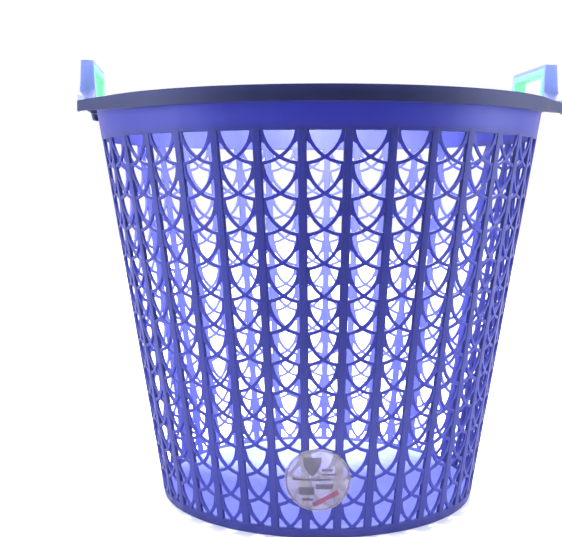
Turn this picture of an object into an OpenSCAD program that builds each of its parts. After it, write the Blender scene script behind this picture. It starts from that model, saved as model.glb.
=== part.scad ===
// Round openwork wastebasket with two upright loop handles.
// The basket is one moulding, drawn here as its rim, bands, lattice panels and floor.
// Origin: centre of the round base, on the surface it stands on. +Z is up, the handles are on X.

/* [Basket] */
// Height of the rim above the surface
basket_h = 368; // [340:1:400]
// Outer radius of the wall at the base
base_r = 148.8; // [145:0.1:155]
// Outer radius of the wall at the rim
mouth_r = 208; // [200:0.5:215]
// Thickness of the solid bands
band_t = 2.5; // [2:0.1:3.5]
// Top of the solid lower band
low_band_top = 8.5; // [7:0.5:9]
// Underside of the solid upper band
high_band_z = 335; // [330:0.5:338]

/* [Lattice] */
// Number of upright ribs
rib_count = 36; // [36]
// Width of a rib
rib_w = 6.8; // [5:0.1:8]
// Thickness of a rib
rib_t = 3.2; // [3:0.1:4]
// How far a rib stands proud of the scales
rib_proud = 0.4; // [0.3:0.1:0.6]
// Thickness of the scales
scale_t = 2.2; // [1.8:0.1:2.3]
// Width of the strip that draws a scale
strip_w = 2.3; // [1.8:0.1:3]
// Rows of scales
rows = 13; // [13]
// Height at which the scales of the top row cross
first_cross_z = 315; // [313:0.5:317]
// Distance from the first crossing to the second
first_pitch = 27.7; // [27:0.1:28]
// Each row's pitch over that of the row above
pitch_ratio = 0.9846; // [0.984:0.0001:0.986]
// Height of a scale over its row's pitch
scale_rise = 1.04; // [1:0.01:1.1]

/* [Rim] */
// Outer radius of the rim
rim_r = 217.4; // [214:0.1:222]
// Height of the turned-down skirt
skirt_h = 12.8; // [9:0.1:14]
// Thickness of the rim
rim_t = 2.5; // [2:0.1:3]
// Distance of a tab's straight outer edge from the middle
tab_x = 219.4; // [218.5:0.1:223]
// Half the length of a tab's outer edge
tab_half = 62; // [55:1:70]
// How far each end of a tab slants back to the round rim
tab_slant = 43; // [30:1:48]

/* [Handles] */
// Top of the handles above the surface
handle_top_z = 405.2; // [400:0.2:412]
// Half the length of a handle
handle_half = 47; // [44:0.5:52]
// Rounding of a handle's top corners
handle_corner = 3; // [2:0.5:6]
// Height of the sloped foot at each end
foot_h = 11; // [6:0.5:12]
// Length of the sloped foot
foot_l = 27; // [15:1:30]
// Thickness of the handle strip over the grip
strip_t = 4; // [3:0.5:5]
// Thickness of the grip liner around the finger hole
grip_t = 5.5; // [4:0.5:7]

/* [Label] */
// Diameter of the round label
label_d = 55; // [40:1:60]
// Height of the label's centre
label_z = 52.5; // [45:0.5:80]
// Direction of the label's centre, measured from +X
label_azimuth = -96.3; // [-110:0.1:-80]

/* [Hidden] */
$fn = 96;

violet = [0.36, 0.38, 0.78];
pale_violet = [0.62, 0.66, 0.93];
mint = [0.62, 1, 0.71];
frost = [0.72, 0.70, 0.80];

taper = (mouth_r - base_r) / basket_h;
panel_count = 18;
rib_step = 360 / rib_count;
panel_step = 360 / panel_count;
ribs_per_panel = rib_count / panel_count;
tilt = atan(taper * cos(rib_step / 2));
floor_z = 3;
floor_t = 2.5;
base_t = 3;
label_t = 0.35;
label_gap = 0.5;
rib_overlap = 1.5;
corner_gap = 1.6;
shield_steps = 3;
hole_steps = 2;
corner_steps = 6;
handle_rise = handle_top_z - basket_h;
handle_in_low = 203.6;
handle_in_high = 206.2;
handle_out_low = 218.6;
handle_out_high = 216.8;
grip_proud = 0.4;
grip_recess = 0.8;
grip_corner = 2;
hole_corner = 2;
gusset_t = 2;
gusset_h = 3.5;
gusset_spacing = 30;
far = 400;

// Outer radius of the wall at height z
function wall_r(z) = base_r + taper * z;

// Half the width of one flat column, between the middles of its two ribs
function half_col(z) = wall_r(z) * sin(rib_step / 2);

// Height of the crossing of row j; row 0 is the top one
function cross_z(j) = first_cross_z - first_pitch * (1 - pow(pitch_ratio, j)) / (1 - pitch_ratio);

// A scale is half an ellipse, lowest at its own rib and upright where it meets the next ribs
function scale_a(j) = 2 * half_col(cross_z(j)) - rib_w / 2;
function scale_b(j) = scale_rise * first_pitch * pow(pitch_ratio, j);
function scale_mid(j) = cross_z(j) + scale_b(j) * sqrt(1 - pow(half_col(cross_z(j)) / scale_a(j), 2));

// Point on the edge of a scale of row j; grow is +1 for its lower edge, -1 for its upper edge
function edge_x(j, grow, t) = (scale_a(j) + grow * strip_w / 2) * sin(t) - half_col(cross_z(j));
function edge_z(j, grow, t) = scale_mid(j) - (scale_b(j) + grow * strip_w / 2) * cos(t);
function edge_angle(j, grow, x) =
    asin(min(1, (x + half_col(cross_z(j))) / (scale_a(j) + grow * strip_w / 2)));

// A column's drawing runs along its slope, so heights are stretched a little
function on_slope(p) = [p[0], p[1] / cos(tilt)];

// Edge points between two angles
function edge(j, grow, from, to, steps) =
    [for (i = [0:steps]) let (t = from + (to - from) * i / steps)
        [edge_x(j, grow, t), edge_z(j, grow, t)]];

function mirrored(points) = [for (i = [len(points) - 1:-1:0]) [-points[i][0], points[i][1]]];

// Angle on the upper edge of row j's scale at height z
function angle_at(j, z) = acos(max(0, min(1, (scale_mid(j) - z) / (scale_b(j) - strip_w / 2))));

// Height of the lower edge of row j's scale where it leaves its own rib
function tail_z(j) = edge_z(j, 1, edge_angle(j, 1, -half_col(cross_z(j)) + (rib_w + strip_w) / 2));

// Right half of the shield-shaped opening above the crossing of row j
function shield_half(j) =
    let (top = j == 0 ? high_band_z + 2 : tail_z(j - 1))
    let (side = edge(j, -1, edge_angle(j, -1, 0), angle_at(j, top), shield_steps))
    let (peak = j == 0 ? [] : [[0, edge_z(j - 1, 1, edge_angle(j - 1, 1, 0))]])
    concat(side, peak);

// The whole shield: the right half upwards, then its mirror image downwards
function shield(j) =
    let (half = shield_half(j))
    [for (p = concat(half, [for (q = mirrored(half)) if (q[0] < -0.001) q])) on_slope(p)];

// Small three-cornered opening beside the crossing of row j, on the right
function side_hole(j) =
    let (h = half_col(cross_z(j)), rib_x = h - rib_w / 2)
    let (slope = scale_b(j) / scale_a(j) * tan(edge_angle(j, 0, 0)))
    let (tip_x = strip_w / 2 * sqrt(1 + slope * slope) / slope)
    let (top = edge(j, 1, edge_angle(j, 1, tip_x), edge_angle(j, 1, rib_x - corner_gap), hole_steps))
    let (low = edge(j, -1, edge_angle(j, -1, -rib_x - 1), edge_angle(j, -1, -tip_x), 1))
    concat([[tip_x, cross_z(j)]], [for (i = [1:hole_steps]) top[i]],
           [[rib_x + 1, top[hole_steps][1]], [-low[0][0], low[0][1]]]);

// All the outlines of one flat column: its plate, then its openings
function column_loops() =
    let (z0 = low_band_top - 6, z1 = high_band_z + 6)
    concat([[for (p = [[half_col(z0) - rib_overlap, z0], [half_col(z1) - rib_overlap, z1],
                       [rib_overlap - half_col(z1), z1], [rib_overlap - half_col(z0), z0]]) on_slope(p)]],
           [for (j = [0:rows - 1]) shield(j)],
           [for (j = [0:rows - 1]) [for (p = side_hole(j)) on_slope(p)]],
           [for (j = [0:rows - 1]) [for (p = mirrored(side_hole(j))) on_slope(p)]]);

function sum_to(v, n) = n == 0 ? 0 : v[n - 1] + sum_to(v, n - 1);

// Stands a flat drawing on the wall: its x along the wall, its y up the slope
module on_wall(azimuth, radius, depth) {
    rotate([0, 0, azimuth])
        translate([radius, 0, 0])
            rotate([0, tilt, 0])
                rotate([90, 0, 90])
                    translate([0, 0, -depth])
                        linear_extrude(height = depth)
                            children();
}

module column_plate(azimuth) {
    loops = column_loops();
    sizes = [for (loop = loops) len(loop)];
    paths = [for (k = [0:len(loops) - 1]) let (first = sum_to(sizes, k))
        [for (i = [0:sizes[k] - 1]) first + i]];
    on_wall(azimuth, base_r * cos(rib_step / 2), scale_t)
        polygon(points = [for (loop = loops) for (p = loop) p], paths = paths);
}

module rib(azimuth) {
    on_wall(azimuth, base_r + rib_proud, rib_t)
        translate([-rib_w / 2, -far / 10])
            square([rib_w, far + far / 10]);
}

// Region from one rib's far side to the far side of the last rib of the panel
module panel_region(from) {
    to = from + panel_step;
    corners = [for (spot = [[from, 60], [from, 300], [to, 300], [to, 60]])
        [spot[1] * cos(spot[0]) - rib_w / 2 * sin(spot[0]),
         spot[1] * sin(spot[0]) + rib_w / 2 * cos(spot[0])]];
    translate([0, 0, low_band_top])
        linear_extrude(height = high_band_z - low_band_top)
            polygon(corners);
}

module lattice_panel(k) {
    from = (k - 1) * panel_step;
    color(violet)
        intersection() {
            panel_region(from);
            union() {
                for (i = [0:ribs_per_panel - 1]) {
                    column_plate(from + (i + 0.5) * rib_step);
                    rib(from + (i + 1) * rib_step);
                }
            }
        }
}

module upper_band() {
    plate_z = basket_h - rim_t;
    color(violet)
        rotate_extrude()
            polygon([[wall_r(high_band_z) - band_t, high_band_z], [wall_r(high_band_z), high_band_z],
                     [wall_r(plate_z), plate_z], [wall_r(plate_z) - band_t, plate_z]]);
}

module base_ring() {
    color(violet)
        rotate_extrude()
            polygon([[base_r - base_t, 0], [base_r - 0.8, 0], [wall_r(1), 1], [wall_r(low_band_top), low_band_top],
                     [wall_r(low_band_top) - base_t, low_band_top]]);
}

module floor_plate() {
    color(pale_violet)
        translate([0, 0, floor_z])
            cylinder(r1 = floor_r(floor_z), r2 = floor_r(floor_z + floor_t), h = floor_t);
}

// Inner radius of the base ring at height z
function floor_r(z) = base_r - base_t + (wall_r(low_band_top) - base_r) * z / low_band_top;

// The rim's section: a flat flange and a skirt turned down at its edge
module rim_section(r, skirt) {
    top = basket_h;
    polygon([[wall_r(top) - band_t - taper * rim_t, top - rim_t], [wall_r(top) - band_t, top],
             [r - 1.2, top], [r, top - 1.2], [r, top - skirt], [r - rim_t, top - skirt],
             [r - rim_t, top - rim_t]]);
}

// Plan of one tab on the +X side, with slanted ends, made smaller all round by inset
module tab_plan(inset) {
    out = [tab_x, tab_half];
    back = [sqrt(pow(rim_r, 2) - pow(tab_half + tab_slant, 2)), tab_half + tab_slant];
    along = (out - back) / norm(out - back);
    shift = inset * [along[1], -along[0]];
    // A little past the point where the slanted side meets the round rim
    near = back - tab_slant / 2 * along + shift;
    edge_x = tab_x - inset;
    // The slanted side, moved in by inset, reaches the outer edge here
    corner = near + along * (edge_x - near[0]) / along[0];
    polygon([near, corner, [corner[0], -corner[1]], [near[0], -near[1]]]);
}

// Upright block in the shape of a tab, from low to high; it trims a handle's feet as well
module tab_block(inset, low, high) {
    translate([0, 0, low])
        linear_extrude(height = high - low)
            tab_plan(inset);
}

// Small gussets under the flange of one tab
module gussets() {
    difference() {
        for (i = [-1:1])
            translate([190, i * gusset_spacing - gusset_t / 2, basket_h - rim_t - gusset_h])
                cube([tab_x - rim_t / 2 - 190, gusset_t, gusset_h + 1]);
        cylinder(r = wall_r(basket_h) - 0.5, h = basket_h + 1);
    }
}

module both_sides() {
    for (turn = [0, 180])
        rotate([0, 0, turn])
            children();
}

module rim() {
    under = basket_h - rim_t;
    color(violet)
        union() {
            difference() {
                union() {
                    rotate_extrude()
                        rim_section(rim_r, skirt_h);
                    both_sides()
                        difference() {
                            tab_block(0, basket_h - skirt_h, basket_h);
                            cylinder(r = rim_r - rim_t, h = basket_h + 1);
                        }
                }
                both_sides()
                    tab_block(rim_t, basket_h - skirt_h - 1, under);
            }
            both_sides()
                gussets();
        }
}

// Points on a circle, from one angle to another
function arc(x, y, r, from, to) =
    [for (i = [0:corner_steps]) let (t = from + (to - from) * i / corner_steps)
        [x + r * cos(t), y + r * sin(t)]];

// Outline of an arch, seen along X, standing on the rim; foot lists the points at its right foot
module arch_outline(foot, half, top, corner) {
    translate([0, basket_h])
        polygon(concat(foot, arc(half - corner, top - corner, corner, 0, 90),
                       arc(corner - half, top - corner, corner, 90, 180), mirrored(foot)));
}

// Turns a flat outline into a block across the handle, on the +X side
module across() {
    translate([180, 0, 0])
        rotate([90, 0, 90])
            linear_extrude(height = 70)
                children();
}

// Bar along the tab, widest at its foot; more_in and more_out move its two faces outwards
module handle_bar(more_in, more_out) {
    rotate([90, 0, 0])
        linear_extrude(height = 200, center = true)
            polygon([[handle_in_low - more_in, basket_h], [handle_out_low + more_out, basket_h],
                     [handle_out_high + more_out, handle_top_z], [handle_in_high - more_in, handle_top_z]]);
}

module grip_outline() {
    half = handle_half - strip_t;
    arch_outline([[half + 1, 0]], half, handle_rise - strip_t, grip_corner);
}

module handle() {
    foot = [[handle_half + foot_l, 0], [handle_half + 1, foot_h]];
    color(pale_violet)
        intersection() {
            handle_bar(0, 0);
            tab_block(0, basket_h, handle_top_z + 1);
            across()
                difference() {
                    arch_outline(foot, handle_half, handle_rise, handle_corner);
                    grip_outline();
                }
        }
}

module grip() {
    hole_half = handle_half - strip_t - grip_t;
    color(mint)
        intersection() {
            handle_bar(grip_proud, -grip_recess);
            across()
                difference() {
                    grip_outline();
                    arch_outline([[hole_half + 1, -1]], hole_half, handle_rise - strip_t - grip_t, hole_corner);
                }
        }
}

module label_disc() {
    skin = rib_proud + label_gap;
    color(frost)
        intersection() {
            difference() {
                cylinder(r1 = base_r + skin + label_t, r2 = mouth_r + skin + label_t, h = basket_h);
                cylinder(r1 = base_r + skin, r2 = mouth_r + skin, h = basket_h);
            }
            rotate([0, 0, label_azimuth])
                translate([100, 0, label_z])
                    rotate([0, 90, 0])
                        cylinder(d = label_d, h = 100);
        }
}

rim();
upper_band();
lattice_panel(1);  // lattice_01
lattice_panel(2);  // lattice_02
lattice_panel(3);  // lattice_03
lattice_panel(4);  // lattice_04
lattice_panel(5);  // lattice_05
lattice_panel(6);  // lattice_06
lattice_panel(7);  // lattice_07
lattice_panel(8);  // lattice_08
lattice_panel(9);  // lattice_09
lattice_panel(10);  // lattice_10
lattice_panel(11);  // lattice_11
lattice_panel(12);  // lattice_12
lattice_panel(13);  // lattice_13
lattice_panel(14);  // lattice_14
lattice_panel(15);  // lattice_15
lattice_panel(16);  // lattice_16
lattice_panel(17);  // lattice_17
lattice_panel(18);  // lattice_18
base_ring();
floor_plate();  // floor
rotate([0, 0, 180]) handle();  // handle_left
handle();  // handle_right
rotate([0, 0, 180]) grip();  // grip_left
grip();  // grip_right
label_disc();  // label
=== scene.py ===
import math

import bmesh
import bpy
import numpy as np
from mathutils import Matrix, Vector
from mathutils.geometry import delaunay_2d_cdt


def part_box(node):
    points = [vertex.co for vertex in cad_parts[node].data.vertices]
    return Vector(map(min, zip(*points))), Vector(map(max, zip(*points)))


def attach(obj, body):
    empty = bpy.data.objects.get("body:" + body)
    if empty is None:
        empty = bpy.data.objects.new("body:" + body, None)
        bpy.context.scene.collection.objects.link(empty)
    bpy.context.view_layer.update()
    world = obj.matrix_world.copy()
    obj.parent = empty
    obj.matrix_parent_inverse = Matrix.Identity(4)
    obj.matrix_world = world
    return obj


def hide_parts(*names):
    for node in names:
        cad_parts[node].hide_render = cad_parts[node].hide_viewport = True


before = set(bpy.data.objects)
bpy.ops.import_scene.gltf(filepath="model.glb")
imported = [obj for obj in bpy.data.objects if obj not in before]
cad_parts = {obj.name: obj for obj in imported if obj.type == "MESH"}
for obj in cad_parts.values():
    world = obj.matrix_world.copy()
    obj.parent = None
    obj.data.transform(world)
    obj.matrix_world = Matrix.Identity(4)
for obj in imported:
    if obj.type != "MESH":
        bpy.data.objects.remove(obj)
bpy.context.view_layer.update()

# The object's sizes are in millimetres, as in the CAD source, and turn into metres as its meshes are
# made. The lamps, the camera and the studio floor are in metres.
MM = 0.001

# Wall
BASKET_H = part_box("rim")[1].z / MM
BASE_R = 148.8
MOUTH_R = 208.0
TAPER = (MOUTH_R - BASE_R) / BASKET_H
TILT = math.atan(TAPER)
LOW_BAND_TOP = 8.5
HIGH_BAND_Z = 335.0
BAND_T = 2.5
BAND_PROUD = 0.45
BAND_STEPS = 216

# Lattice
RIB_COUNT = 36
RIB_STEP = 2 * math.pi / RIB_COUNT
RIB_W = 6.8
RIB_T = 3.2
RIB_PROUD = 0.4
RIB_OUTER_ROUND = 0.9
RIB_INNER_ROUND = 0.6
SCALE_T = 2.2
STRIP_W = 2.7
ROWS = 13
# Height of the top row's crossings, and the distance down to the next row, which shrinks row by row
FIRST_CROSS_Z = 315.0
FIRST_PITCH = 27.7
PITCH_RATIO = 0.9846
SCALE_RISE = 1.04
RIBS_PER_PANEL = 2

# Rim, its tabs and the gussets under them
RIM_R = 217.4
SKIRT_H = 13.0
TAB_SKIRT_H = 9.8
# (distance along the basket from the middle of a tab, depth of the skirt there)
SKIRT_DEPTHS = ((44.0, 3.8), (58.0, TAB_SKIRT_H), (75.0, TAB_SKIRT_H), (135.0, SKIRT_H))
RIM_T = 2.5
RIM_STEPS = 360
# Angle in radians between the points that the rim's eased outline is averaged from
RIM_EASE = 0.004
TAB_X = 219.3
TAB_HALF = 62.0
TAB_SLANT = 43.0
GUSSET_H = 2.2
GUSSET_T = 2.0
GUSSET_SPACING = 30.0

# Handles, their feet and their grip liners
HANDLE_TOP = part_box("handle_right")[1].z / MM
HANDLE_HALF = 47.0
HANDLE_SINK = 1.8
HANDLE_DEPTH = 12.0
HANDLE_BEVEL = 0.7
GRIP_BEVEL = 1.1
LONGEST_SIDE = 3.0
HANDLE_CORNER = 3.0
FOOT_H = 11.0
FOOT_L = 27.0
HANDLE_STRIP_T = 4.0
GRIP_T = 5.5
GRIP_PROUD = 0.4
GRIP_RECESS = 0.8
GRIP_CORNER = 2.0
HOLE_CORNER = 2.0
# Inner and outer faces of a handle, from the basket's middle, at the rim and at the handle's top
HANDLE_IN_LOW = 203.6
HANDLE_IN_HIGH = 206.2
HANDLE_OUT_LOW = 218.6
HANDLE_OUT_HIGH = 216.8

# Floor and lower band
FLOOR_Z = 3.0
FLOOR_T = 2.5
FLOOR_RINGS = (58.0, 96.0, 128.0)
FLOOR_STEPS = 144
BASE_T = 3.0

# Label
LABEL_R = 27.5
LABEL_Z = 52.5
LABEL_AZIMUTH = math.radians(-96.3)
LABEL_T = 0.35
LABEL_GAP = 0.5
INK_T = 0.05
# Bars of the print, from the label's middle: (x, y, length, height), and for the flash its slope too
PRINTED_BARS = ((-5.0, 0.5, 32.0, 1.8), (-9.0, -9.5, 12.0, 7.0), (5.5, -5.5, 14.0, 4.5),
                (8.0, 9.0, 9.0, 2.0), (9.0, 5.0, 11.0, 1.6), (-8.0, -17.0, 9.0, 2.0))
FLASH_BAR = (6.8, -16.0, 23.5, 4.0, 29.0)


# ---------------------------------------------------------------- lattice drawing

def wall_r(z):
    """Outer radius of the wall at height z."""
    return BASE_R + TAPER * z


def half_col(z):
    """Half the width of one column, between the middles of its two ribs."""
    return wall_r(z) * math.sin(RIB_STEP / 2)


def cross_z(j):
    """Height of the crossing of row j; row 0 is the top one."""
    return FIRST_CROSS_Z - FIRST_PITCH * (1 - PITCH_RATIO ** j) / (1 - PITCH_RATIO)


class Scale:
    """One row's scale: half an ellipse, lowest at its own rib on the left of the column."""

    def __init__(self, j):
        self.half = half_col(cross_z(j))
        self.a = 2 * self.half - RIB_W / 2
        self.b = SCALE_RISE * FIRST_PITCH * PITCH_RATIO ** j
        self.mid = cross_z(j) + self.b * math.sqrt(1 - (self.half / self.a) ** 2)

    def angle_at_x(self, grow, x):
        return math.asin(min(1.0, (x + self.half) / (self.a + grow * STRIP_W / 2)))

    def angle_at_z(self, grow, z):
        return math.acos(min(1.0, max(0.0, (self.mid - z) / (self.b + grow * STRIP_W / 2))))

    def edge(self, grow, start, end, steps):
        """Points on the lower edge (grow +1) or the upper edge (grow -1) of the strip."""
        points = []
        for i in range(steps + 1):
            t = start + (end - start) * i / steps
            points.append(((self.a + grow * STRIP_W / 2) * math.sin(t) - self.half,
                           self.mid - (self.b + grow * STRIP_W / 2) * math.cos(t)))
        return points


def mirrored(points):
    return [(-x, z) for x, z in reversed(points)]


def shield(j):
    """Shield-shaped opening above the crossing of row j, anticlockwise."""
    scale = Scale(j)
    if j == 0:
        half = scale.edge(-1, scale.angle_at_x(-1, 0), scale.angle_at_z(-1, HIGH_BAND_Z + 0.3), 9)
    else:
        above = Scale(j - 1)
        tail_x = -above.half + (RIB_W + STRIP_W) / 2
        tail_angle = above.angle_at_x(1, tail_x)
        tail_z = above.edge(1, tail_angle, tail_angle, 1)[0][1]
        half = scale.edge(-1, scale.angle_at_x(-1, 0), scale.angle_at_z(-1, tail_z), 9)
        roof = above.edge(1, above.angle_at_x(1, -half[-1][0] + 1.6), above.angle_at_x(1, 0), 4)
        half = half + [(-x, z) for x, z in roof]
    left = [p for p in mirrored(half) if p[0] < -0.001]
    return half + left


def side_hole(j):
    """Small three-cornered opening beside the crossing of row j, on the right, anticlockwise."""
    scale = Scale(j)
    rib_x = scale.half - RIB_W / 2
    corner_gap = 1.5
    slope = scale.b / scale.a * math.tan(scale.angle_at_x(0, 0))
    tip_x = STRIP_W / 2 * math.sqrt(1 + slope * slope) / slope
    top = scale.edge(1, scale.angle_at_x(1, tip_x), scale.angle_at_x(1, rib_x - corner_gap), 6)
    low = mirrored(scale.edge(-1, scale.angle_at_x(-1, -rib_x), scale.angle_at_x(-1, -tip_x), 5))
    # low runs from the tip to the rib; top comes back from the rib to the tip
    return [(tip_x, cross_z(j))] + low[1:] + [(rib_x, top[-1][1])] + top[1:-1][::-1]


def round_corners(loop, radius, sharp=math.radians(32)):
    """Replaces each sharp corner of a closed loop by a short curve."""
    pts = [np.array(p, float) for p in loop]
    out = []
    for i, p in enumerate(pts):
        before, after = pts[i - 1], pts[(i + 1) % len(pts)]
        d0, d1 = before - p, after - p
        l0, l1 = np.linalg.norm(d0), np.linalg.norm(d1)
        turn = math.pi - math.acos(max(-1, min(1, float(d0 @ d1) / (l0 * l1))))
        if turn < sharp:
            out.append(tuple(p))
            continue
        reach = min(radius, 0.45 * l0, 0.45 * l1)
        a, b = p + d0 / l0 * reach, p + d1 / l1 * reach
        for t in (0.0, 0.33, 0.67, 1.0):
            q = (1 - t) ** 2 * a + 2 * t * (1 - t) * p + t * t * b
            out.append(tuple(q))
    return out


# ---------------------------------------------------------------- mesh making

# Edges that turn more than this many degrees stay sharp.
SMOOTH_ANGLE = 40


def grow_loop(loop, amount):
    """Moves an anticlockwise loop outwards by amount; inwards if it is negative."""
    p = np.asarray(loop, float)
    before = p - np.roll(p, 1, 0)
    after = np.roll(p, -1, 0) - p
    normals = []
    for e in (before, after):
        e = e / np.linalg.norm(e, axis=1)[:, None]
        normals.append(np.stack([e[:, 1], -e[:, 0]], 1))
    middle = normals[0] + normals[1]
    middle /= np.linalg.norm(middle, axis=1)[:, None]
    stretch = 1 / np.clip((middle * normals[0]).sum(1), 0.6, 1)
    return p + middle * stretch[:, None] * amount


def inside(loop, points):
    """Which of the points lie inside a closed loop."""
    x, y = points[:, 0], points[:, 1]
    hit = np.zeros(len(points), bool)
    for (x0, y0), (x1, y1) in zip(loop, np.roll(loop, -1, 0)):
        if y0 != y1:
            hit ^= ((y0 > y) != (y1 > y)) & (x < (x1 - x0) * (y - y0) / (y1 - y0) + x0)
    return hit


def fill(loops):
    """Triangles between the first loop and the others, which are its holes."""
    flat, edges = [], []
    for loop in loops:
        base, count = len(flat), len(loop)
        flat += [Vector(p) for p in loop]
        edges += [(base + i, base + (i + 1) % count) for i in range(count)]
    result = delaunay_2d_cdt(flat, edges, [], 0, 1e-5)
    if len(result[0]) != len(flat):
        raise ValueError("the outlines of a plate touch")
    origin = [ids[0] for ids in result[3]]
    triangles = [tuple(origin[v] for v in tri) for tri in result[2]]
    middle = np.array(flat, float)[np.array(triangles)].mean(1)
    keep = inside(loops[0], middle)
    for hole in loops[1:]:
        keep &= ~inside(hole, middle)
    return [tri for tri, kept in zip(triangles, keep) if kept]


def plate(outer, holes, thickness, bevel, steps=2):
    """A flat plate with rounded edges: (points as x, y, depth), faces. Loops are anticlockwise."""
    section = []
    for i in range(steps + 1):
        t = math.pi / 2 * i / steps
        section.append((bevel * (1 - math.sin(t)), bevel * (1 - math.cos(t))))
    section += [(inset, thickness - depth) for inset, depth in reversed(section)]
    points, faces, rims = [], [], []
    for k, loop in enumerate([outer] + holes):
        side = -1 if k == 0 else 1
        count = len(loop)
        first = len(points)
        for inset, depth in section:
            points += [(x, y, depth) for x, y in grow_loop(loop, side * inset)]
        for s in range(len(section) - 1):
            for i in range(count):
                a, b = first + s * count + i, first + s * count + (i + 1) % count
                faces.append((a, b, b + count, a + count))
        rims.append((first, count, first + (len(section) - 1) * count))
    loops, front, back = [], [], []
    for first, count, last in rims:
        loops.append(np.array(points[first:first + count])[:, :2])
        front += list(range(first, first + count))
        back += list(range(last, last + count))
    for tri in fill(loops):
        faces.append(tuple(front[i] for i in tri))
        faces.append(tuple(back[i] for i in reversed(tri)))
    return np.array(points, float), faces


def sweep_ring(section_at, steps):
    """Carries a closed section of (radius, height) points once round the Z axis."""
    points, faces = [], []
    for k in range(steps):
        angle = 2 * math.pi * k / steps
        section = section_at(angle)
        points += [(r * math.cos(angle), r * math.sin(angle), z) for r, z in section]
    size = len(section)
    for k in range(steps):
        nxt = (k + 1) % steps
        for i in range(size):
            j = (i + 1) % size
            faces.append((k * size + i, nxt * size + i, nxt * size + j, k * size + j))
    return np.array(points, float), faces


def corner(r, z, radius, start, end, steps=4):
    """Points on a rounded corner of a section, from one angle to another, in degrees."""
    points = []
    for i in range(steps + 1):
        t = math.radians(start + (end - start) * i / steps)
        points.append((r + radius * math.cos(t), z + radius * math.sin(t)))
    return points


def join(parts):
    """Puts several (points, faces) meshes into one."""
    points, faces, count = [], [], 0
    for p, f in parts:
        points.append(p)
        faces += [tuple(i + count for i in face) for face in f]
        count += len(p)
    return np.vstack(points), faces


def face_outwards(points, faces):
    """The same mesh with every face turned outwards."""
    mesh = bpy.data.meshes.new("turned")
    mesh.from_pydata([tuple(p) for p in points], [], faces)
    bm = bmesh.new()
    bm.from_mesh(mesh)
    bmesh.ops.recalc_face_normals(bm, faces=bm.faces)
    turned = [tuple(v.index for v in f.verts) for f in bm.faces]
    bm.free()
    bpy.data.meshes.remove(mesh)
    return turned


def piece(name, points, faces, material, nodes, turn=True):
    """Makes an object of a mesh in millimetres, hangs it on the root body and hides the parts of model.glb
    that it replaces.
    """
    if turn:
        faces = face_outwards(points, faces)
    mesh = bpy.data.meshes.new(name)
    mesh.from_pydata((np.asarray(points) * MM).tolist(), [], faces)
    mesh.validate()
    mesh.shade_smooth()
    mesh.set_sharp_from_angle(angle=math.radians(SMOOTH_ANGLE))
    mesh.materials.append(material)
    obj = bpy.data.objects.new(name, mesh)
    bpy.context.scene.collection.objects.link(obj)
    weigh = obj.modifiers.new("Weighted normals", "WEIGHTED_NORMAL")
    weigh.keep_sharp = True
    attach(obj, "root")
    if nodes:
        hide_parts(*nodes)


# ---------------------------------------------------------------- materials

def node(tree, kind, **inputs):
    """A new node with its inputs set; an underscore in a keyword stands for a space."""
    made = tree.nodes.new(kind)
    for key, value in inputs.items():
        made.inputs[key.replace("_", " ")].default_value = value
    return made


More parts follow.
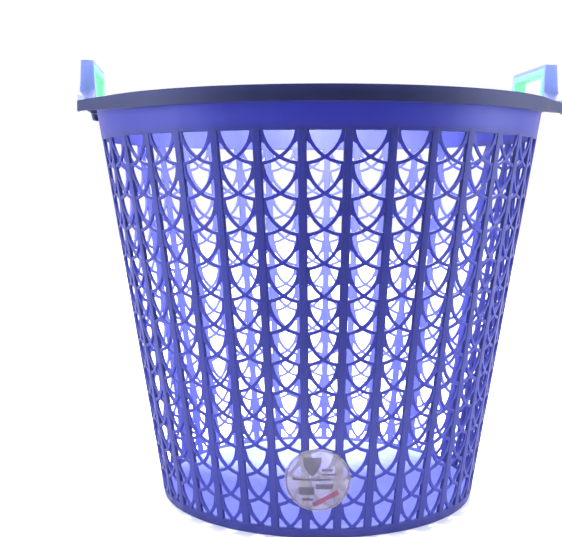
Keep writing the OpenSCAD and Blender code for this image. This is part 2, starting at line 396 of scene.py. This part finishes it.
def plastic(name, deep, light, edge, through_colour, roughness, glow, coat=0.06, grain=0.00008):
    """Moulded polypropylene: cloudy colour, flow lines, fine grain, rubbed edges, light shining through."""
    material = bpy.data.materials.new(name)
    material.use_nodes = True
    tree = material.node_tree
    tree.nodes.clear()
    link = tree.links.new
    out = node(tree, "ShaderNodeOutputMaterial")
    place = node(tree, "ShaderNodeTexCoord")

    cloud = node(tree, "ShaderNodeTexNoise", Scale=14.0, Detail=3.0, Roughness=0.55)
    link(place.outputs["Object"], cloud.inputs["Vector"])
    stretch = node(tree, "ShaderNodeMapping")
    stretch.inputs["Scale"].default_value = (90.0, 90.0, 7.0)
    link(place.outputs["Object"], stretch.inputs["Vector"])
    flow = node(tree, "ShaderNodeTexNoise", Scale=1.0, Detail=2.0, Roughness=0.5)
    link(stretch.outputs["Vector"], flow.inputs["Vector"])
    both = node(tree, "ShaderNodeMath")
    both.operation = "ADD"
    link(cloud.outputs["Fac"], both.inputs[0])
    link(flow.outputs["Fac"], both.inputs[1])
    ramp = node(tree, "ShaderNodeValToRGB")
    ramp.color_ramp.elements[0].position = 0.35
    ramp.color_ramp.elements[0].color = (*deep, 1)
    ramp.color_ramp.elements[1].position = 0.75
    ramp.color_ramp.elements[1].color = (*light, 1)
    halve = node(tree, "ShaderNodeMath")
    halve.operation = "MULTIPLY"
    halve.inputs[1].default_value = 0.5
    link(both.outputs[0], halve.inputs[0])
    link(halve.outputs[0], ramp.inputs["Fac"])

    shape = node(tree, "ShaderNodeNewGeometry")
    rubbed = node(tree, "ShaderNodeMapRange")
    rubbed.inputs["From Min"].default_value = 0.53
    rubbed.inputs["From Max"].default_value = 0.62
    rubbed.inputs["To Max"].default_value = 0.35
    link(shape.outputs["Pointiness"], rubbed.inputs["Value"])
    worn = node(tree, "ShaderNodeMix")
    worn.data_type = "RGBA"
    link(rubbed.outputs["Result"], worn.inputs["Factor"])
    link(ramp.outputs["Color"], worn.inputs[6])
    worn.inputs[7].default_value = (*edge, 1)

    fine = node(tree, "ShaderNodeTexNoise", Scale=900.0, Detail=2.0)
    link(place.outputs["Object"], fine.inputs["Vector"])
    sheen = node(tree, "ShaderNodeMapRange")
    sheen.inputs["To Min"].default_value = roughness - 0.08
    sheen.inputs["To Max"].default_value = roughness + 0.1
    link(cloud.outputs["Fac"], sheen.inputs["Value"])
    bump = node(tree, "ShaderNodeBump", Strength=0.35, Distance=grain)
    link(fine.outputs["Fac"], bump.inputs["Height"])

    body = node(tree, "ShaderNodeBsdfPrincipled")
    body.inputs["Coat Weight"].default_value = coat
    body.inputs["Coat Roughness"].default_value = 0.2
    body.inputs["IOR"].default_value = 1.49
    body.inputs["Specular IOR Level"].default_value = 0.22
    body.inputs["Specular Tint"].default_value = (0.62, 0.68, 1.0, 1)
    link(worn.outputs[2], body.inputs["Base Color"])
    link(sheen.outputs["Result"], body.inputs["Roughness"])
    link(bump.outputs["Normal"], body.inputs["Normal"])
    tint = node(tree, "ShaderNodeMix")
    tint.data_type = "RGBA"
    link(cloud.outputs["Fac"], tint.inputs["Factor"])
    tint.inputs[6].default_value = (*[0.85 * c for c in through_colour], 1)
    tint.inputs[7].default_value = (*through_colour, 1)
    through = node(tree, "ShaderNodeBsdfTranslucent")
    link(tint.outputs[2], through.inputs["Color"])
    link(bump.outputs["Normal"], through.inputs["Normal"])
    mix = node(tree, "ShaderNodeMixShader")
    mix.inputs["Fac"].default_value = glow
    link(body.outputs["BSDF"], mix.inputs[1])
    link(through.outputs["BSDF"], mix.inputs[2])
    link(mix.outputs["Shader"], out.inputs["Surface"])
    return material


BASKET_PP = plastic("basket_plastic", (0.022, 0.025, 0.114), (0.031, 0.034, 0.152), (0.08, 0.09, 0.34),
                    (0.14, 0.15, 1.0), roughness=0.45, glow=0.24, coat=0.0)
# Rim plastic: darker and greyer than the basket plastic. The greyer tone is partly the rim's own, less
# see-through colour; the extra darkness is painted shade for the rim's dark front face.
RIM_SHADED_PP = plastic("rim_plastic_shaded", (0.014, 0.016, 0.042), (0.020, 0.022, 0.056), (0.05, 0.055, 0.15),
                 (0.34, 0.42, 1.0), roughness=0.56, glow=0.18, coat=0.0)
# Floor plastic: the basket's plastic made about three times paler. This is painted light that keeps the
# floor pale where the lamps leave it in shade.
FLOOR_LIT_PP = plastic("floor_plastic_lit", (0.060, 0.072, 0.30), (0.085, 0.10, 0.38), (0.18, 0.21, 0.60),
                   (0.28, 0.33, 1.0), roughness=0.45, glow=0.26, coat=0.0)
# Handle plastic: the basket's blue made near-white lavender. This is painted light for the backlight glare
# that washes out the handles.
HANDLE_LIT_PP = plastic("handle_plastic_lit", (0.29, 0.35, 0.72), (0.36, 0.42, 0.80), (0.50, 0.55, 0.88),
                    (0.50, 0.56, 1.0), roughness=0.40, glow=0.42)
GRIP_TPE = plastic("grip_rubber", (0.28, 0.86, 0.44), (0.38, 0.94, 0.54), (0.52, 0.97, 0.65),
                   (0.50, 1.0, 0.62), roughness=0.55, glow=0.35, coat=0.0, grain=0.00015)


FILM_ROUGHNESS = 0.35


def film(name, dark, light, alpha):
    """Printed see-through film: mottled ink, scuffs in its sheen, faint waves."""
    material = bpy.data.materials.new(name)
    material.use_nodes = True
    tree = material.node_tree
    link = tree.links.new
    body = tree.nodes["Principled BSDF"]
    place = node(tree, "ShaderNodeTexCoord")
    mottle = node(tree, "ShaderNodeTexNoise", Scale=160.0, Detail=4.0, Roughness=0.6)
    link(place.outputs["Object"], mottle.inputs["Vector"])
    ramp = node(tree, "ShaderNodeValToRGB")
    ramp.color_ramp.elements[0].position = 0.38
    ramp.color_ramp.elements[0].color = (*dark, 1)
    ramp.color_ramp.elements[1].position = 0.66
    ramp.color_ramp.elements[1].color = (*light, 1)
    link(mottle.outputs["Fac"], ramp.inputs["Fac"])
    link(ramp.outputs["Color"], body.inputs["Base Color"])
    scuff = node(tree, "ShaderNodeMapRange")
    scuff.inputs["To Min"].default_value = FILM_ROUGHNESS - 0.1
    scuff.inputs["To Max"].default_value = FILM_ROUGHNESS + 0.15
    link(mottle.outputs["Fac"], scuff.inputs["Value"])
    link(scuff.outputs["Result"], body.inputs["Roughness"])
    wave = node(tree, "ShaderNodeTexNoise", Scale=60.0, Detail=1.0)
    link(place.outputs["Object"], wave.inputs["Vector"])
    bump = node(tree, "ShaderNodeBump", Strength=0.3, Distance=0.0002)
    link(wave.outputs["Fac"], bump.inputs["Height"])
    link(bump.outputs["Normal"], body.inputs["Normal"])
    body.inputs["Alpha"].default_value = alpha
    return material


LABEL_FILM = film("label_film", (0.11, 0.095, 0.14), (0.20, 0.18, 0.23), 0.55)
LABEL_GREY = film("label_grey", (0.022, 0.018, 0.045), (0.045, 0.037, 0.08), 0.75)
LABEL_ROSE = film("label_rose", (0.085, 0.015, 0.05), (0.13, 0.024, 0.075), 0.85)


# ---------------------------------------------------------------- lattice

def on_cone(points, azimuth):
    """Bends a flat column onto the wall: x along the wall, y its height, depth from the outer face."""
    x, z, depth = points[:, 0], points[:, 1], points[:, 2]
    outer = wall_r(z)
    angle = azimuth + np.arcsin(x / outer)
    radius = outer - depth * math.cos(TILT)
    return np.stack([radius * np.cos(angle), radius * np.sin(angle), z + depth * math.sin(TILT)], 1)


def column_plate():
    """One flat column of the lattice with all its openings; its sides end inside the ribs."""
    overlap = 1.5
    web_inset = 0.12
    shield_round, small_round, bevel = 0.9, 0.7, 0.42
    z0, z1 = LOW_BAND_TOP - 6.0, HIGH_BAND_Z + 3.0
    levels = np.linspace(z0, z1, 14)
    right = [(half_col(z) - overlap, z) for z in levels]
    outer = right + mirrored(right)
    holes = []
    for j in range(ROWS):
        holes.append(round_corners(shield(j), shield_round))
        small = round_corners(side_hole(j), small_round)
        holes.append(small)
        holes.append(mirrored(small))
    points, faces = plate(outer, holes, SCALE_T - web_inset, bevel)
    points[:, 2] += web_inset
    return points, face_outwards(points, faces)


def rib_bar():
    """One rib, straight up the wall, as (sideways, height, depth)."""
    w, t = RIB_W / 2, RIB_T
    front, back = RIB_OUTER_ROUND, RIB_INNER_ROUND
    section = (corner(w - front, front, front, -90, 0, 3) + corner(w - back, t - back, back, 0, 90, 2)
               + corner(back - w, t - back, back, 90, 180, 2)
               + corner(front - w, front, front, 180, 270, 3))
    z0, z1 = LOW_BAND_TOP - 1.5, HIGH_BAND_Z + 3.0
    size, rows = len(section), 12
    points = []
    for k in range(rows + 1):
        z = z0 + (z1 - z0) * k / rows
        points += [(s, z, d - RIB_PROUD) for s, d in section]
    faces = [tuple(range(size)), tuple(range(rows * size, (rows + 1) * size))[::-1]]
    for k in range(rows):
        for i in range(size):
            a, b = k * size + i, k * size + (i + 1) % size
            faces.append((a, b, b + size, a + size))
    points = np.array(points, float)
    return points, face_outwards(points, faces)


def on_rib(points, azimuth):
    """Stands a rib in its place on the wall without bending it sideways."""
    side, z, depth = points[:, 0], points[:, 1], points[:, 2]
    radius = wall_r(z) - depth * math.cos(TILT)
    return np.stack([radius * math.cos(azimuth) - side * math.sin(azimuth),
                     radius * math.sin(azimuth) + side * math.cos(azimuth),
                     z + depth * math.sin(TILT)], 1)


def make_lattice():
    column, column_faces = column_plate()
    bar, bar_faces = rib_bar()
    for panel in range(RIB_COUNT // RIBS_PER_PANEL):
        parts = []
        for i in range(RIBS_PER_PANEL):
            rib = panel * RIBS_PER_PANEL + i
            parts.append((on_cone(column, (rib + 0.5) * RIB_STEP), column_faces))
            parts.append((on_rib(bar, (rib + 1) * RIB_STEP), bar_faces))
        points, faces = join(parts)
        name = "lattice_%02d" % (panel + 1)
        piece("openwork_%02d" % (panel + 1), points, faces, BASKET_PP, [name], turn=False)


# ---------------------------------------------------------------- bands, floor and rim

def tab_edge(y):
    """Distance of a tab's edge from the middle, across from the point y along it."""
    back_y = TAB_HALF + TAB_SLANT
    back_x = math.sqrt(RIM_R ** 2 - back_y ** 2)
    slanted = TAB_X - (abs(y) - TAB_HALF) * (TAB_X - back_x) / TAB_SLANT
    return min(TAB_X, slanted)


def rim_radius(angle):
    """Outer radius of the rim: round, with a straight-edged tab under each handle."""
    x, y = abs(math.cos(angle)), abs(math.sin(angle))
    back_y = TAB_HALF + TAB_SLANT
    if RIM_R * y > back_y:
        return RIM_R
    back_x = math.sqrt(RIM_R ** 2 - back_y ** 2)
    dx, dy = TAB_X - back_x, -TAB_SLANT
    # Where the ray at this angle meets the slanted end of the tab
    slanted = (back_x * dy - back_y * dx) / (x * dy - y * dx)
    return max(RIM_R, min(TAB_X / x, slanted))


def soft_rim_radius(angle):
    """The same outline with its corners eased."""
    return sum(rim_radius(angle + k * RIM_EASE) for k in (-2, -1, 0, 1, 2)) / 5


def rim_section(angle):
    """The flat flange and its skirt, shallower at a tab's ends and only a low lip under a handle."""
    r = soft_rim_radius(angle)
    y = abs(math.sin(angle)) * r
    low = BASKET_H - float(np.interp(y, *zip(*SKIRT_DEPTHS)))
    top, under = BASKET_H, BASKET_H - RIM_T
    inner = wall_r(BASKET_H) - BAND_T
    root = wall_r(under)
    return (corner(inner + 0.9, top - 0.9, 0.9, 180, 90) + corner(r - 1.1, top - 1.1, 1.1, 90, 0, 5)
            + corner(r - 0.9, low + 0.9, 0.9, 0, -90, 3)
            + corner(r - RIM_T + 0.7, low + 0.7, 0.7, -90, -180, 3)
            + corner(r - RIM_T - 1.0, under - 1.0, 1.0, 0, 90, 3)
            + [(root + 1.2, under), (root + 0.45, under - 0.5), (root - 0.1, under - 0.9),
               (inner + 0.2, under - 0.9), (inner - TAPER * RIM_T, under)])


def gusset(side, offset):
    """Small upright web under a tab, between the wall and the tab's lip."""
    low, high = BASKET_H - RIM_T - GUSSET_H, BASKET_H - RIM_T + 0.4
    inner = math.sqrt((wall_r(low) - 0.6) ** 2 - (abs(offset) + 1) ** 2)
    outer = TAB_X - RIM_T + 0.4
    outline = [(inner, low), (outer, low), (outer, high), (inner + 0.6, high)]
    flat, faces = plate(outline, [], GUSSET_T, 0.35)
    return np.stack([side * flat[:, 0], offset - GUSSET_T / 2 + flat[:, 2], flat[:, 1]], 1), faces


def make_rim():
    parts = [sweep_ring(rim_section, RIM_STEPS)]
    for side in (-1, 1):
        for i in (-1, 0, 1):
            parts.append(gusset(side, i * GUSSET_SPACING))
    points, faces = join(parts)
    piece("rim_flange", points, faces, RIM_SHADED_PP, ["rim"])


def make_bands():
    """The upper band, which runs up into the flange, and the lower one, which stands on the ground."""
    proud = BAND_PROUD
    z0, z1 = HIGH_BAND_Z, BASKET_H - RIM_T
    section = (corner(wall_r(z0) + proud - 0.8, z0 + 0.8, 0.8, 0, -90)
               + corner(wall_r(z0) - BAND_T + 0.5, z0 + 0.5, 0.5, -90, -180, 3)
               + [(wall_r(z1 - 0.4) - BAND_T, z1 - 0.4), (wall_r(z1) - BAND_T + 0.4, z1 + 0.6),
                  (wall_r(z1) + proud - 0.3, z1 + 0.6), (wall_r(z1) + proud, z1 - 0.1)])
    points, faces = sweep_ring(lambda angle: section, BAND_STEPS)
    piece("wall_band", points, faces, BASKET_PP, ["upper_band"])

    top = LOW_BAND_TOP
    section = (corner(wall_r(top) + proud - 0.7, top - 0.7, 0.7, 0, 90)
               + corner(wall_r(top) - BASE_T + 0.5, top - 0.5, 0.5, 90, 180, 3)
               + [(BASE_R - BASE_T + 0.3, 0.9), (BASE_R - BASE_T + 0.9, 0.0)]
               + corner(BASE_R - 1.2 + 0.1, 1.2, 1.2, -90, -10))
    points, faces = sweep_ring(lambda angle: section, BAND_STEPS)
    piece("base_band", points, faces, BASKET_PP, ["base_ring"])


def make_floor():
    """The closed floor: a flat disc with moulded grooves and a small gate mark at its middle."""
    edge = BASE_R - BASE_T + 1.0
    top, under = FLOOR_Z + FLOOR_T, FLOOR_Z
    line = [(edge, under), (edge, top)]
    for r in reversed(FLOOR_RINGS):
        line += [(r + 1.6, top), (r + 0.8, top - 0.5), (r - 0.8, top - 0.5), (r - 1.6, top)]
    line += [(9.0, top), (8.4, top - 0.4), (2.2, top - 0.4), (1.6, top + 0.2), (0.6, top + 0.3)]
    below = [(0.6, under + 0.6), (8.4, under + 0.6), (9.0, under)]
    for r in FLOOR_RINGS:
        below += [(r - 1.2, under), (r - 0.8, under - 0.9), (r + 0.8, under - 0.9), (r + 1.2, under)]
    section = line + below
    points, faces = sweep_ring(lambda angle: section, FLOOR_STEPS)
    count = len(section)
    # The sweep leaves a small hole round the axis; one flat face closes it above and one below.
    top_centre = [k * count + len(line) - 1 for k in range(FLOOR_STEPS)]
    low_centre = [k * count + len(line) for k in range(FLOOR_STEPS)]
    keep = [f for f in faces if not (set(f) & set(top_centre) and set(f) & set(low_centre))]
    keep += [tuple(top_centre), tuple(reversed(low_centre))]
    piece("floor_disc", points, keep, FLOOR_LIT_PP, ["floor"])


# ---------------------------------------------------------------- handles

def divide(loop, longest):
    """The same closed loop with points added, so that no side is longer than the given length."""
    out = []
    for i, p in enumerate(loop):
        q = loop[(i + 1) % len(loop)]
        pieces = max(1, math.ceil(math.dist(p, q) / longest))
        for k in range(pieces):
            out.append((p[0] + (q[0] - p[0]) * k / pieces, p[1] + (q[1] - p[1]) * k / pieces))
    return out


def arch(foot, half, top, radius):
    """Outline of an arch standing on the rim, anticlockwise: foot lists the points at its right foot."""
    right = foot + corner(half - radius, top - radius, radius, 0, 90, 6)
    return right + mirrored(right)


def u_shape(outer, inner):
    """One loop round an arch with an open finger hole: outside, then back along the inside."""
    return outer + inner[::-1]


def on_handle(points, side, more_in, more_out):
    """Stands a flat arch on the rim; its points are (along the handle, above the rim, inwards).

    more_in and more_out move its inner and outer faces away from its middle.
    """
    y, up, inwards = points[:, 0], points[:, 1], points[:, 2]
    share = np.clip(up / (HANDLE_TOP - BASKET_H), 0, 1)
    inner = HANDLE_IN_LOW + (HANDLE_IN_HIGH - HANDLE_IN_LOW) * share - more_in
    outer = HANDLE_OUT_LOW + (HANDLE_OUT_HIGH - HANDLE_OUT_LOW) * share + more_out
    outer = np.minimum(outer, [tab_edge(v) - 0.4 for v in y])
    x = outer - (outer - inner) * inwards / HANDLE_DEPTH
    return np.stack([side * x, side * y, BASKET_H + up], 1)


def make_handles():
    """Both handle frames on their sloped feet, each with a grip liner round its finger hole."""
    rise, sink = HANDLE_TOP - BASKET_H, -HANDLE_SINK
    foot = [(HANDLE_HALF + FOOT_L, sink), (HANDLE_HALF + FOOT_L - 0.5, 1.0),
            (HANDLE_HALF + 3.0, FOOT_H - 1.2), (HANDLE_HALF + 1.0, FOOT_H + 1.5)]
    liner_half, liner_top = HANDLE_HALF - HANDLE_STRIP_T, rise - HANDLE_STRIP_T
    frame_outer = arch(foot, HANDLE_HALF, rise, HANDLE_CORNER)
    frame_inner = arch([(liner_half + 0.6, sink)], liner_half, liner_top, GRIP_CORNER)
    liner_outer = arch([(liner_half + 0.9, sink)], liner_half + 0.3, liner_top + 0.3, GRIP_CORNER)
    hole_half, hole_top = liner_half - GRIP_T, liner_top - GRIP_T
    liner_inner = arch([(hole_half + 0.6, sink)], hole_half, hole_top, HOLE_CORNER)
    frame_loop = divide(u_shape(frame_outer, frame_inner), LONGEST_SIDE)
    liner_loop = divide(u_shape(liner_outer, liner_inner), LONGEST_SIDE)
    for side, name in ((-1, "left"), (1, "right")):
        points, faces = plate(frame_loop, [], HANDLE_DEPTH, HANDLE_BEVEL)
        piece("handle_frame_" + name, on_handle(points, side, 0.0, 0.0), faces, HANDLE_LIT_PP,
              ["handle_" + name])
        points, faces = plate(liner_loop, [], HANDLE_DEPTH, GRIP_BEVEL, steps=4)
        points = on_handle(points, side, GRIP_PROUD, -GRIP_RECESS)
        piece("grip_liner_" + name, points, faces, GRIP_TPE, ["grip_" + name])


# ---------------------------------------------------------------- label

def sheet(grid, thickness, wrap):
    """A thin solid over a grid of (x, y) points; wrap joins its last column to the first."""
    rows, cols = grid.shape[:2]
    flat = grid.reshape(-1, 2)
    count = len(flat)
    points = np.vstack([np.c_[flat, np.zeros(count)], np.c_[flat, np.full(count, thickness)]])
    ids = np.arange(count).reshape(rows, cols)
    if wrap:
        ids = np.hstack([ids, ids[:, :1]])
    faces = []
    for quad in zip(*(part.ravel() for part in (ids[:-1, :-1], ids[:-1, 1:], ids[1:, 1:], ids[1:, :-1]))):
        faces.append(tuple(int(v) for v in quad))
        faces.append(tuple(int(v) + count for v in reversed(quad)))
    borders = [ids[0], ids[-1][::-1]]
    if not wrap:
        borders += [ids[:, 0][::-1], ids[:, -1]]
    for line in borders:
        for a, b in zip(line[:-1], line[1:]):
            faces.append((int(b), int(a), int(a) + count, int(b) + count))
    return points, faces


def grid_of(place, rows, cols):
    """Grid of place(u, v) with u and v running from 0 to 1 along the columns and rows."""
    columns = range(cols + 1)
    return np.array([[place(c / cols, r / rows) for c in columns] for r in range(rows + 1)], float)


def disc_grid(radius):
    """A square grid eased into a disc."""
    def place(u, v):
        x, y = 2 * u - 1, 2 * v - 1
        return radius * x * math.sqrt(1 - y * y / 2), radius * y * math.sqrt(1 - x * x / 2)
    return grid_of(place, 20, 20)


def ring_grid(inner, outer):
    """A ring, without the column that would repeat its first one."""
    def place(u, v):
        radius, angle = inner + (outer - inner) * v, 2 * math.pi * u
        return radius * math.cos(angle), radius * math.sin(angle)
    return grid_of(place, 1, 72)[:, :-1]


def bar_grid(x, y, length, height, slope=0.0):
    """A bar round its centre, turned by slope degrees."""
    c, s = math.cos(math.radians(slope)), math.sin(math.radians(slope))

    def place(u, v):
        a, b = (u - 0.5) * length, (v - 0.5) * height
        return x + a * c - b * s, y + a * s + b * c
    return grid_of(place, 2, max(2, round(length / 2)))


def shield_grid(x, y, width, height):
    """A blank shield with a straight top and a point below."""
    def place(u, v):
        return x + (2 * u - 1) * width / 2 * (1 - v ** 2.6), y - height * v
    return grid_of(place, 10, 6)


def on_label(points, lift):
    """Bends a flat drawing onto the label's place; lift is how far its face stands off the label's."""
    z = LABEL_Z + points[:, 1]
    face = wall_r(z) + RIB_PROUD + LABEL_GAP + LABEL_T + lift
    angle = LABEL_AZIMUTH + np.arcsin(points[:, 0] / face)
    radius = face - points[:, 2]
    return np.stack([radius * np.cos(angle), radius * np.sin(angle), z], 1)


def label_piece(name, grids, thickness, lift, material, nodes):
    """One piece of the label from several grids, each given as (grid, does it wrap round)."""
    parts = [sheet(grid, thickness, wrap) for grid, wrap in grids]
    points, faces = join(parts)
    piece(name, on_label(points, lift), faces, material, nodes)


def make_label():
    """A round see-through sticker with a generic print: a ring, bars, a blank shield and a flash."""
    label_piece("label_film", [(disc_grid(LABEL_R), False)], LABEL_T, 0.0, LABEL_FILM, ["label"])
    grey = [(ring_grid(25.6, 26.3), True), (shield_grid(-4.5, 20.0, 15.0, 17.0), False)]
    for bar in PRINTED_BARS:
        grey.append((bar_grid(*bar), False))
    label_piece("label_print", grey, INK_T, INK_T, LABEL_GREY, [])
    flash = [(bar_grid(*FLASH_BAR), False)]
    label_piece("label_flash", flash, INK_T, 1.5 * INK_T, LABEL_ROSE, [])


make_lattice()
make_rim()
make_bands()
make_floor()
make_handles()
make_label()


# ---------------------------------------------------------------- floor, light and camera

# Strength of the white surroundings on the camera's side and behind the object
FRONT_LIGHT = 0.15
BACK_LIGHT = 1.3
# Colour of the lamps beside the object
COOL = (0.80, 0.84, 1.0)
STAGE_R = 4.6
STAGE_SIDES = 96


def make_stage():
    """A round pale floor under the object."""
    material = bpy.data.materials.new("studio_floor")
    material.use_nodes = True
    tree = material.node_tree
    body = tree.nodes["Principled BSDF"]
    grain = node(tree, "ShaderNodeTexNoise", Scale=3.0, Detail=2.0)
    tone = node(tree, "ShaderNodeValToRGB")
    tone.color_ramp.elements[0].color = (0.86, 0.86, 0.87, 1)
    tone.color_ramp.elements[1].color = (0.90, 0.90, 0.90, 1)
    tree.links.new(grain.outputs["Fac"], tone.inputs["Fac"])
    tree.links.new(tone.outputs["Color"], body.inputs["Base Color"])
    body.inputs["Roughness"].default_value = 0.7
    mesh = bpy.data.meshes.new("studio_floor")
    turns = [2 * math.pi * k / STAGE_SIDES for k in range(STAGE_SIDES)]
    points = [(STAGE_R * math.cos(t), STAGE_R * math.sin(t), 0) for t in turns]
    mesh.from_pydata(points, [], [tuple(range(STAGE_SIDES))])
    mesh.materials.append(material)
    floor = bpy.data.objects.new("studio_floor", mesh)
    bpy.context.scene.collection.objects.link(floor)


def place_lamp(name, data, place, target):
    """Hangs a lamp that the camera can't see and points it at the target."""
    lamp = bpy.data.objects.new(name, data)
    lamp.location = place
    lamp.rotation_euler = (Vector(target) - Vector(place)).to_track_quat("-Z", "Y").to_euler()
    lamp.visible_camera = False
    bpy.context.scene.collection.objects.link(lamp)


def area_light(name, place, target, width, height, power, colour=(1, 1, 1)):
    data = bpy.data.lights.new(name, "AREA")
    data.shape = "RECTANGLE"
    data.size, data.size_y = width, height
    data.energy = power
    data.color = colour
    place_lamp(name, data, place, target)


def spot_light(name, place, target, cone, power):
    """A soft round spot; cone is its full angle in degrees."""
    data = bpy.data.lights.new(name, "SPOT")
    data.spot_size = math.radians(cone)
    data.spot_blend = 0.25
    data.shadow_soft_size = 0.04
    data.energy = power
    place_lamp(name, data, place, target)


def make_world():
    """White surroundings that light the object from behind and look plain white to the camera."""
    world = bpy.data.worlds.new("studio")
    world.use_nodes = True
    tree = world.node_tree
    tree.nodes.clear()
    link = tree.links.new
    place = node(tree, "ShaderNodeTexCoord")
    split = node(tree, "ShaderNodeSeparateXYZ")
    link(place.outputs["Generated"], split.inputs[0])
    depth = node(tree, "ShaderNodeMapRange", From_Min=-0.6, From_Max=0.8,
                 To_Min=FRONT_LIGHT, To_Max=BACK_LIGHT)
    link(split.outputs["Y"], depth.inputs["Value"])
    seen = node(tree, "ShaderNodeLightPath")
    level = node(tree, "ShaderNodeMix")
    link(seen.outputs["Is Camera Ray"], level.inputs["Factor"])
    link(depth.outputs["Result"], level.inputs[2])
    level.inputs[3].default_value = 1.0
    back = node(tree, "ShaderNodeBackground")
    back.inputs["Color"].default_value = (1, 1, 1, 1)
    link(level.outputs[0], back.inputs["Strength"])
    out = node(tree, "ShaderNodeOutputWorld")
    link(back.outputs["Background"], out.inputs["Surface"])
    bpy.context.scene.world = world


def make_lights():
    make_world()
    area_light("back_softbox", (0, 2.6, 2.6), (0, 1.8, 0), 4.0, 2.0, 360)
    spot_light("mouth_spot", (-0.06, -0.80, 1.60), (0, 0.18, 0.15), 14, 2300)
    for side in (-1, 1):
        area_light("back_strip", (1.6 * side, 0.9, 0.7), (0, 0, 0.25), 0.5, 1.4, 2, COOL)
        area_light("side_box", (1.5 * side, -0.30, 0.5), (0.15 * side, 0, 0.22), 0.8, 0.8, 45, COOL)
    area_light("low_fill", (0, -0.30, 0.012), (0, -0.14, 0.012), 0.6, 0.02, 0.8)
    spot_light("top_spot", (0, -0.1, 2.2), (0, -0.02, 0), 12, 520)


def make_camera():
    """The camera that matches the photo's view."""
    data = bpy.data.cameras.new("camera")
    data.sensor_width = 36.0
    data.lens = 61.44
    data.clip_end = 100
    camera = bpy.data.objects.new("camera", data)
    camera.location = (-0.1081, -0.9213, 0.2928)
    camera.rotation_euler = (math.pi / 2 - 0.0855, 0, -0.0791)
    bpy.context.scene.collection.objects.link(camera)
    bpy.context.scene.camera = camera


make_stage()
make_lights()
make_camera()
bpy.context.scene.view_settings.view_transform = "Standard"
